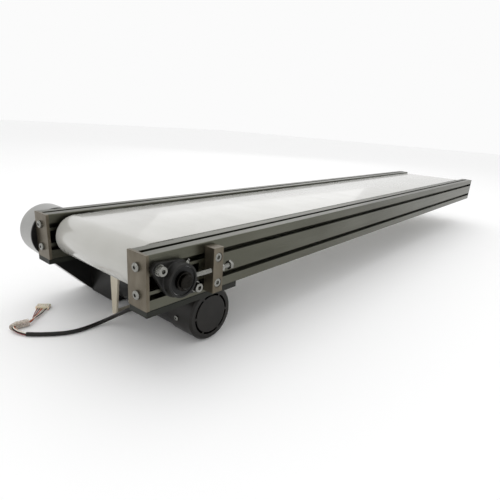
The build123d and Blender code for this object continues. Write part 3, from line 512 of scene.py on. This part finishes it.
# Repeated details made with Geometry Nodes.

def newTree(name, inputs):
    # An empty node group whose inputs are sizes in metres or counts.
    tree = bpy.data.node_groups.new(name, "GeometryNodeTree")
    tree.interface.new_socket("Geometry", in_out="INPUT", socket_type="NodeSocketGeometry")
    for label, kind in inputs:
        tree.interface.new_socket(label, in_out="INPUT", socket_type=kind)
    tree.interface.new_socket("Geometry", in_out="OUTPUT", socket_type="NodeSocketGeometry")
    return tree, addNode(tree, "NodeGroupInput"), addNode(tree, "NodeGroupOutput")


def endTree(tree, output, instances, material):
    real = addNode(tree, "GeometryNodeRealizeInstances", {"Geometry": instances})
    painted = addNode(tree, "GeometryNodeSetMaterial",
                      {"Geometry": real.outputs[0], "Material": material})
    tree.links.new(painted.outputs[0], output.inputs[0])


def grown(mesh, tree, values):
    # Runs a tree on a mesh and gives the plain mesh that results.
    carrier = bpy.data.objects.new("carrier", mesh)
    bpy.context.scene.collection.objects.link(carrier)
    modifier = carrier.modifiers.new("grow", "NODES")
    modifier.node_group = tree
    sockets = {item.name: item.identifier for item in tree.interface.items_tree
               if item.in_out == "INPUT"}
    for label, value in values.items():
        modifier[sockets[label]] = value
    evaluated = carrier.evaluated_get(bpy.context.evaluated_depsgraph_get())
    result = bpy.data.meshes.new_from_object(evaluated)
    bpy.data.objects.remove(carrier)
    return result


floatSocket, countSocket = "NodeSocketFloat", "NodeSocketInt"


def knurlTree(material):
    # Ridges in a ring round Z, one on each point of a circle, as rolled on a socket head.
    tree, given, output = newTree("knurled ring", [("Radius", floatSocket), ("Height", floatSocket),
                                                   ("Ridge", floatSocket), ("Ridges", countSocket)])
    circle = addNode(tree, "GeometryNodeMeshCircle",
                     {"Vertices": given.outputs["Ridges"], "Radius": given.outputs["Radius"]})
    ridge = addNode(tree, "GeometryNodeMeshCylinder",
                    {"Vertices": 5, "Radius": given.outputs["Ridge"],
                     "Depth": given.outputs["Height"]})
    place = addNode(tree, "GeometryNodeInputPosition").outputs[0]
    turn = addNode(tree, "FunctionNodeAlignRotationToVector", {"Vector": place}, axis="X")
    spread = addNode(tree, "GeometryNodeInstanceOnPoints",
                     {"Points": circle.outputs[0], "Instance": ridge.outputs["Mesh"],
                      "Rotation": turn.outputs[0]})
    spots = addNode(tree, "GeometryNodeInstanceOnPoints",
                    {"Points": given.outputs["Geometry"], "Instance": spread.outputs[0]})
    endTree(tree, output, spots.outputs[0], material)
    return tree


knurl = {"ridges": 40, "ridge": 0.00032, "height": 0.0066, "headHeight": 0.008, "radius": 0.00672}
heads = [(low, high) for low, high in looseSolids("bearing_bolts")]
spotMesh = bpy.data.meshes.new("knurl spots")
middleY = (cadBox[0].y + cadBox[1].y) / 2
# The rings stand on Z in the tree and are turned to the screws' own axis afterwards.
spots = []
for low, high in heads:
    outward = high[1] if high[1] > middleY else low[1]
    inward = -1 if high[1] > middleY else 1
    spots.append(((low[0] + high[0]) / 2, -(low[2] + high[2]) / 2,
                  outward + inward * (knurl["headHeight"] - knurl["height"] / 2 - 0.0002)))
spotMesh.from_pydata(spots, [], [])
knurls = grown(spotMesh, knurlTree(finish["zinc_steel"]),
               {"Radius": knurl["radius"], "Height": knurl["height"], "Ridge": knurl["ridge"],
                "Ridges": knurl["ridges"]})
knurls.transform(Matrix.Rotation(math.radians(-90), 4, "X"))
newPiece("bearingBoltKnurls", knurls, "zinc_steel", "frame", [])
print("knurled heads made")


def ringSection(y0, y1, r0, r1, x, z, steps=64):
    # A washer-shaped band round Y between two radii, with rounded outer edges.
    edge = min(abs(y1 - y0), r1 - r0) * 0.3
    profile = [(y0, r0), (y0, r1 - edge), (y0 + (edge if y1 > y0 else -edge), r1),
               (y1 - (edge if y1 > y0 else -edge), r1), (y1, r1 - edge), (y1, r0)]
    rings = [[Vector((x + r * math.cos(math.tau * i / steps), y, z + r * math.sin(math.tau * i / steps)))
              for i in range(steps)] for y, r in profile]
    return meshOf(rings, closedAlong=True)


# Bearing shields and grease nipples on the two castings.

shield = {"inner": 0.0139, "outer": 0.0208, "depth": 0.0019, "thickness": 0.0009}
nipple = {
    "tilt": 58, "setback": 0.009, "reach": 0.0235, "sides": 12,
    "profile": [(0.0, 0.0032), (0.0028, 0.0032), (0.003, 0.0024), (0.0042, 0.0022),
                (0.005, 0.0014), (0.0062, 0.0019), (0.0073, 0.0016), (0.0078, 0.0006)],
}
shields, nipples = [], []
shaftX, shaftZ = driveX, centreZ
for sideName, way in (("near", -1), ("far", 1)):
    low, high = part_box(f"{sideName}_bearing_housing")
    face = low.y if way < 0 else high.y
    start = face - way * shield["depth"]
    shields.append(ringSection(start, start - way * shield["thickness"], shield["inner"],
                               shield["outer"], shaftX, shaftZ))
    # A grease nipple stands on the hub's upper flank.
    tilt = math.radians(nipple["tilt"])
    out = Vector((math.cos(tilt), 0, math.sin(tilt)))
    base = Vector((shaftX, face - way * nipple["setback"], shaftZ)) + out * nipple["reach"]
    side = Vector((0, 1, 0))
    up = out.cross(side)
    rings = [[axisPoint(base, out, side, up, d, r, math.tau * i / nipple["sides"])
              for i in range(nipple["sides"])] for d, r in nipple["profile"]]
    nipples.append(meshOf(rings))
newPiece("bearingShields", smoothMesh(joined(shields)), "black_plastic", "frame", [])
newPiece("greaseNipples", smoothMesh(joined(nipples)), "zinc_steel", "frame", [])
print("bearing shields and nipples made")

# The motor's lead: cable, five wires, a sleeve and a plug.

# Route points from the drive plates' outer face, the belt's middle and the ground, in mm.
lead = {
    "cableRoute": [
        (86, -50, 54), (66, -44, 50), (56, -28, 42), (54, -10, 30), (55, 6, 20), (48, 20, 10),
        (35, 27, 4.5), (17, 27, 3.5), (-1, 27, 3.5), (-20, 32, 3.5), (-36, 42, 3.5),
        (-50, 53, 3.5), (-60, 62, 3.5), (-68.5, 71, 3.5)],
    "wireRoute": [
        (-68.5, 71, 3.5), (-74, 80.5, 4.0), (-77.5, 92, 5.2), (-77.5, 102, 6.2),
        (-71, 107.5, 6.2), (-61.5, 105.5, 6.2), (-51, 104.5, 6.2), (-42, 111, 5.4)],
    "sleeveFrom": 3, "sleeveTo": 6, "fanHeading": (0.66, 0.75), "fanLengths": (16.0, 34.0, 52.0),
    "fanShares": (0.45, 0.85, 1.0), "wireCount": 5, "wirePitch": 4.0, "wireRadius": 0.9,
    "cableRadius": 3.5, "sleeveRadius": 6.2, "sleeveWall": 0.8, "plug": (23.0, 15.0, 6.4), "plugEntry": 3.0,
}
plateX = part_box("near_drive_end_plate")[0].x
beltMiddle = (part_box("conveyor_belt")[0].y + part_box("conveyor_belt")[1].y) / 2


def leadPoint(point):
    return Vector((plateX + point[0] * mm, beltMiddle + point[1] * mm, point[2] * mm))


def leadCurve(name, points, radius, sides):
    curve = bpy.data.curves.new(name, "CURVE")
    curve.dimensions = "3D"
    spline = curve.splines.new("NURBS")
    spline.points.add(len(points) - 1)
    for place, point in zip(spline.points, points):
        place.co = (*point, 1.0)
    spline.order_u = 3
    spline.use_endpoint_u = True
    spline.resolution_u = 10
    curve.bevel_depth = radius
    curve.bevel_resolution = sides
    curve.use_fill_caps = radius > 0
    return curve


cablePoints = [leadPoint(p) for p in lead["cableRoute"]]
wireMiddle = [leadPoint(p) for p in lead["wireRoute"]]
fanAlong = Vector((*lead["fanHeading"], 0)).normalized()
fanAcross = Vector((-fanAlong.y, fanAlong.x, 0))
bundleRadius = (lead["wireRadius"] / math.sin(math.pi / lead["wireCount"]) + 0.15) * mm


def wirePoints(number):
    # One wire of the bundle, then fanned out to its pin.
    angle = math.tau * (number + 0.25) / lead["wireCount"]
    points = []
    for place, middle in enumerate(wireMiddle):
        before = wireMiddle[max(place - 1, 0)]
        after = wireMiddle[min(place + 1, len(wireMiddle) - 1)]
        level = Vector((after.x - before.x, after.y - before.y, 0)).normalized()
        sideways = Vector((-level.y, level.x, 0))
        lift = Vector((0, 0, bundleRadius * math.sin(angle)))
        points.append(middle + sideways * bundleRadius * math.cos(angle) + lift)
    pin = (number - (lead["wireCount"] - 1) / 2) * lead["wirePitch"] * mm
    for share, reach in zip(lead["fanShares"], lead["fanLengths"]):
        spot = wireMiddle[-1] + fanAlong * reach * mm + fanAcross * pin * share
        points.append(Vector((spot.x, spot.y, (lead["plug"][2] / 2 + 2 - 2 * share) * mm)))
    return points


def routeLength(points):
    # Length of the smooth line through a lead's control points.
    probe = bpy.data.objects.new("probe", leadCurve("probe", points, 0.0, 0))
    bpy.context.scene.collection.objects.link(probe)
    evaluated = probe.evaluated_get(bpy.context.evaluated_depsgraph_get())
    line = bpy.data.meshes.new_from_object(evaluated)
    total = sum((line.vertices[a].co - line.vertices[b].co).length for a, b in
                (edge.vertices for edge in line.edges))
    bpy.data.objects.remove(probe)
    return total


def plugMesh():
    # A flat housing with bevelled edges, in its own axes: X across, Y along the wires, Z up.
    wide, deep, high = (s * mm for s in lead["plug"])
    bm = bmesh.new()
    bmesh.ops.create_cube(bm, size=1.0)
    bmesh.ops.scale(bm, vec=(wide, deep, high), verts=bm.verts)
    bmesh.ops.translate(bm, vec=(0, deep / 2, high / 2), verts=bm.verts)
    bmesh.ops.bevel(bm, geom=list(bm.edges), offset=0.0006, segments=2, affect="EDGES")
    body = bpy.data.meshes.new("plug body")
    bm.to_mesh(body)
    bm.free()
    return body


def plugTree(material):
    # A window frame over each contact, in a row along X.
    tree, given, output = newTree("row of windows", [("Windows", countSocket), ("Step", floatSocket),
                                                     ("Width", floatSocket), ("Length", floatSocket),
                                                     ("Height", floatSocket)])
    size = addNode(tree, "ShaderNodeCombineXYZ", {"X": given.outputs["Width"],
                                                  "Y": given.outputs["Length"],
                                                  "Z": given.outputs["Height"]})
    bar = addNode(tree, "GeometryNodeMeshCube", {"Size": size.outputs[0]})
    step = addNode(tree, "ShaderNodeCombineXYZ", {"X": given.outputs["Step"]})
    row = addNode(tree, "GeometryNodeMeshLine",
                  {"Count": given.outputs["Windows"], "Offset": step.outputs[0]})
    bars = addNode(tree, "GeometryNodeInstanceOnPoints",
                   {"Points": row.outputs[0], "Instance": bar.outputs["Mesh"]})
    placed = addNode(tree, "GeometryNodeInstanceOnPoints",
                     {"Points": given.outputs["Geometry"], "Instance": bars.outputs[0]})
    endTree(tree, output, placed.outputs[0], material)
    return tree


plugFace = wireMiddle[-1] + fanAlong * (lead["fanLengths"][-1] - lead["plugEntry"]) * mm
plugFrame = Matrix((( fanAlong.y, fanAlong.x, 0, plugFace.x),
                    (-fanAlong.x, fanAlong.y, 0, plugFace.y),
                    (0, 0, 1, 0), (0, 0, 0, 1)))
plugDeep, plugHigh = lead["plug"][1] * mm, lead["plug"][2] * mm
# Width, length and height in metres, over a row centred at this share of the plug's depth.
plugRow = {"share": 0.55, "rib": (0.0009, 0.008, 0.0008), "bar": (0.0019, 0.0055, 0.0004),
           "barSunk": 0.0001}
pitch = lead["wirePitch"] * mm


def rowOf(name, corner, width, length, height, count, material):
    spot = bpy.data.meshes.new(name)
    spot.from_pydata([corner], [], [])
    return grown(spot, plugTree(material), {"Windows": count, "Step": pitch, "Width": width,
                                            "Length": length, "Height": height})


def placedOn(mesh, matrix):
    mesh.transform(matrix)
    return mesh


firstPin = -(lead["wireCount"] - 1) / 2 * pitch
rowY = plugDeep * plugRow["share"]
ribs = rowOf("ribs", (firstPin - pitch / 2, rowY, plugHigh), *plugRow["rib"],
             lead["wireCount"] + 1, finish["plug_nylon"])
bars = rowOf("bars", (firstPin, rowY, plugHigh - plugRow["barSunk"]), *plugRow["bar"],
             lead["wireCount"], contactMetal)
plug = newPiece("leadPlug", placedOn(joined([plugMesh(), ribs]), plugFrame), "plug_nylon", "frame",
                ["wire_plug"])
contacts = newPiece("leadPlugContacts", placedOn(bars, plugFrame), "plug_nylon", "frame", [],
                    contactMetal)

sleeveCurve = leadCurve("sleeve line", wireMiddle[lead["sleeveFrom"]:lead["sleeveTo"] + 1],
                        lead["sleeveRadius"] * mm, 6)
sleeveCurve.use_fill_caps = False
carrier = bpy.data.objects.new("sleeve carrier", sleeveCurve)
bpy.context.scene.collection.objects.link(carrier)
wall = carrier.modifiers.new("wall", "SOLIDIFY")
wall.thickness = lead["sleeveWall"] * mm
wall.offset = -1
sleeveMesh = bpy.data.meshes.new_from_object(
    carrier.evaluated_get(bpy.context.evaluated_depsgraph_get()))
bpy.data.objects.remove(carrier)
sleeve = newPiece("wireSleeve", smoothMesh(sleeveMesh, 50), "clear_sleeve", "frame", ["wire_sleeve"])

cable = newPiece("motorCable", leadCurve("cable", cablePoints, lead["cableRadius"] * mm, 6),
                 "cable_pvc", "frame", ["motor_cable"])
routeLength(cablePoints)
for number in range(lead["wireCount"]):
    points = wirePoints(number)
    wire = newPiece(f"leadWire{number + 1}",
                    leadCurve(f"wire {number + 1}", points, lead["wireRadius"] * mm, 3),
                    "wire_pvc", "frame", ["lead_wires"], wireFinishes[number])
    routeLength(points)
print("motor lead made")

# Floor, lights and camera.

floorMesh = bpy.data.meshes.new("floor")
reach, drop = 12, 0.0005
floorCorners = [(-reach, -reach, 0), (reach, -reach, 0), (reach, reach, 0), (-reach, reach, 0)]
floorMesh.from_pydata(floorCorners, [], [(0, 1, 2, 3)])
floor = bpy.data.objects.new("studioFloor", floorMesh)
bpy.context.scene.collection.objects.link(floor)
floorMesh.transform(Matrix.Translation((0, 0, -drop)))
floorMaterial, floorTree, floorShader, floorPlace = newMaterial("pale studio floor", Roughness=0.7)
floorShader.inputs["Base Color"].default_value = linear("#F8F8F8")
floorMesh.materials.append(floorMaterial)

studio = {
    # name: (place, what it faces, width, height, watts)
    "overheadSoftbox": ((0.1, 0.3, 2.4), (0.1, 0.0, 0.0), 3.0, 2.2, 12.0),
    "farSoftbox": ((2.6, 2.3, 1.5), (0.2, 0.0, 0.1), 2.6, 1.6, 5.0),
    "plateSoftbox": ((-3.0, 0.3, 1.0), (-0.8, 0.0, 0.1), 1.4, 1.4, 3.0),
    "sideFill": ((-0.6, -3.0, 1.1), (-0.5, 0.0, 0.1), 1.6, 0.9, 2.0),
}
for name, (place, target, width, height, watts) in studio.items():
    light = bpy.data.lights.new(name, "AREA")
    light.shape = "RECTANGLE"
    light.size, light.size_y = width, height
    light.energy = watts
    lamp = bpy.data.objects.new(name, light)
    lamp.location = place
    facing = Vector(target) - Vector(place)
    lamp.rotation_euler = facing.to_track_quat("-Z", "Y").to_euler()
    bpy.context.scene.collection.objects.link(lamp)

world = bpy.data.worlds.new("studio air")
world.use_nodes = True
world.node_tree.nodes["Background"].inputs["Color"].default_value = linear("#FBFBFB")
world.node_tree.nodes["Background"].inputs["Strength"].default_value = 1.0
bpy.context.scene.world = world

view = {"place": (-1.14488, -0.58446, 0.35297), "lens": 29.253, "shift": (0.0025, 0.0241),
        "right": (0.64715, -0.75946, 0.06647), "up": (0.20535, 0.25761, 0.94418)}
cameraData = bpy.data.cameras.new("camera")
cameraData.lens = view["lens"]
cameraData.sensor_width = 36
cameraData.shift_x, cameraData.shift_y = view["shift"]
cameraData.clip_start = 0.01
camera = bpy.data.objects.new("camera", cameraData)
right, up = Vector(view["right"]), Vector(view["up"])
back = right.cross(up)
camera.matrix_world = Matrix.Translation(view["place"]) @ Matrix((right, up, back)).transposed().to_4x4()
bpy.context.scene.collection.objects.link(camera)
bpy.context.scene.camera = camera
bpy.context.scene.view_settings.view_transform = "Standard"
print("studio set")
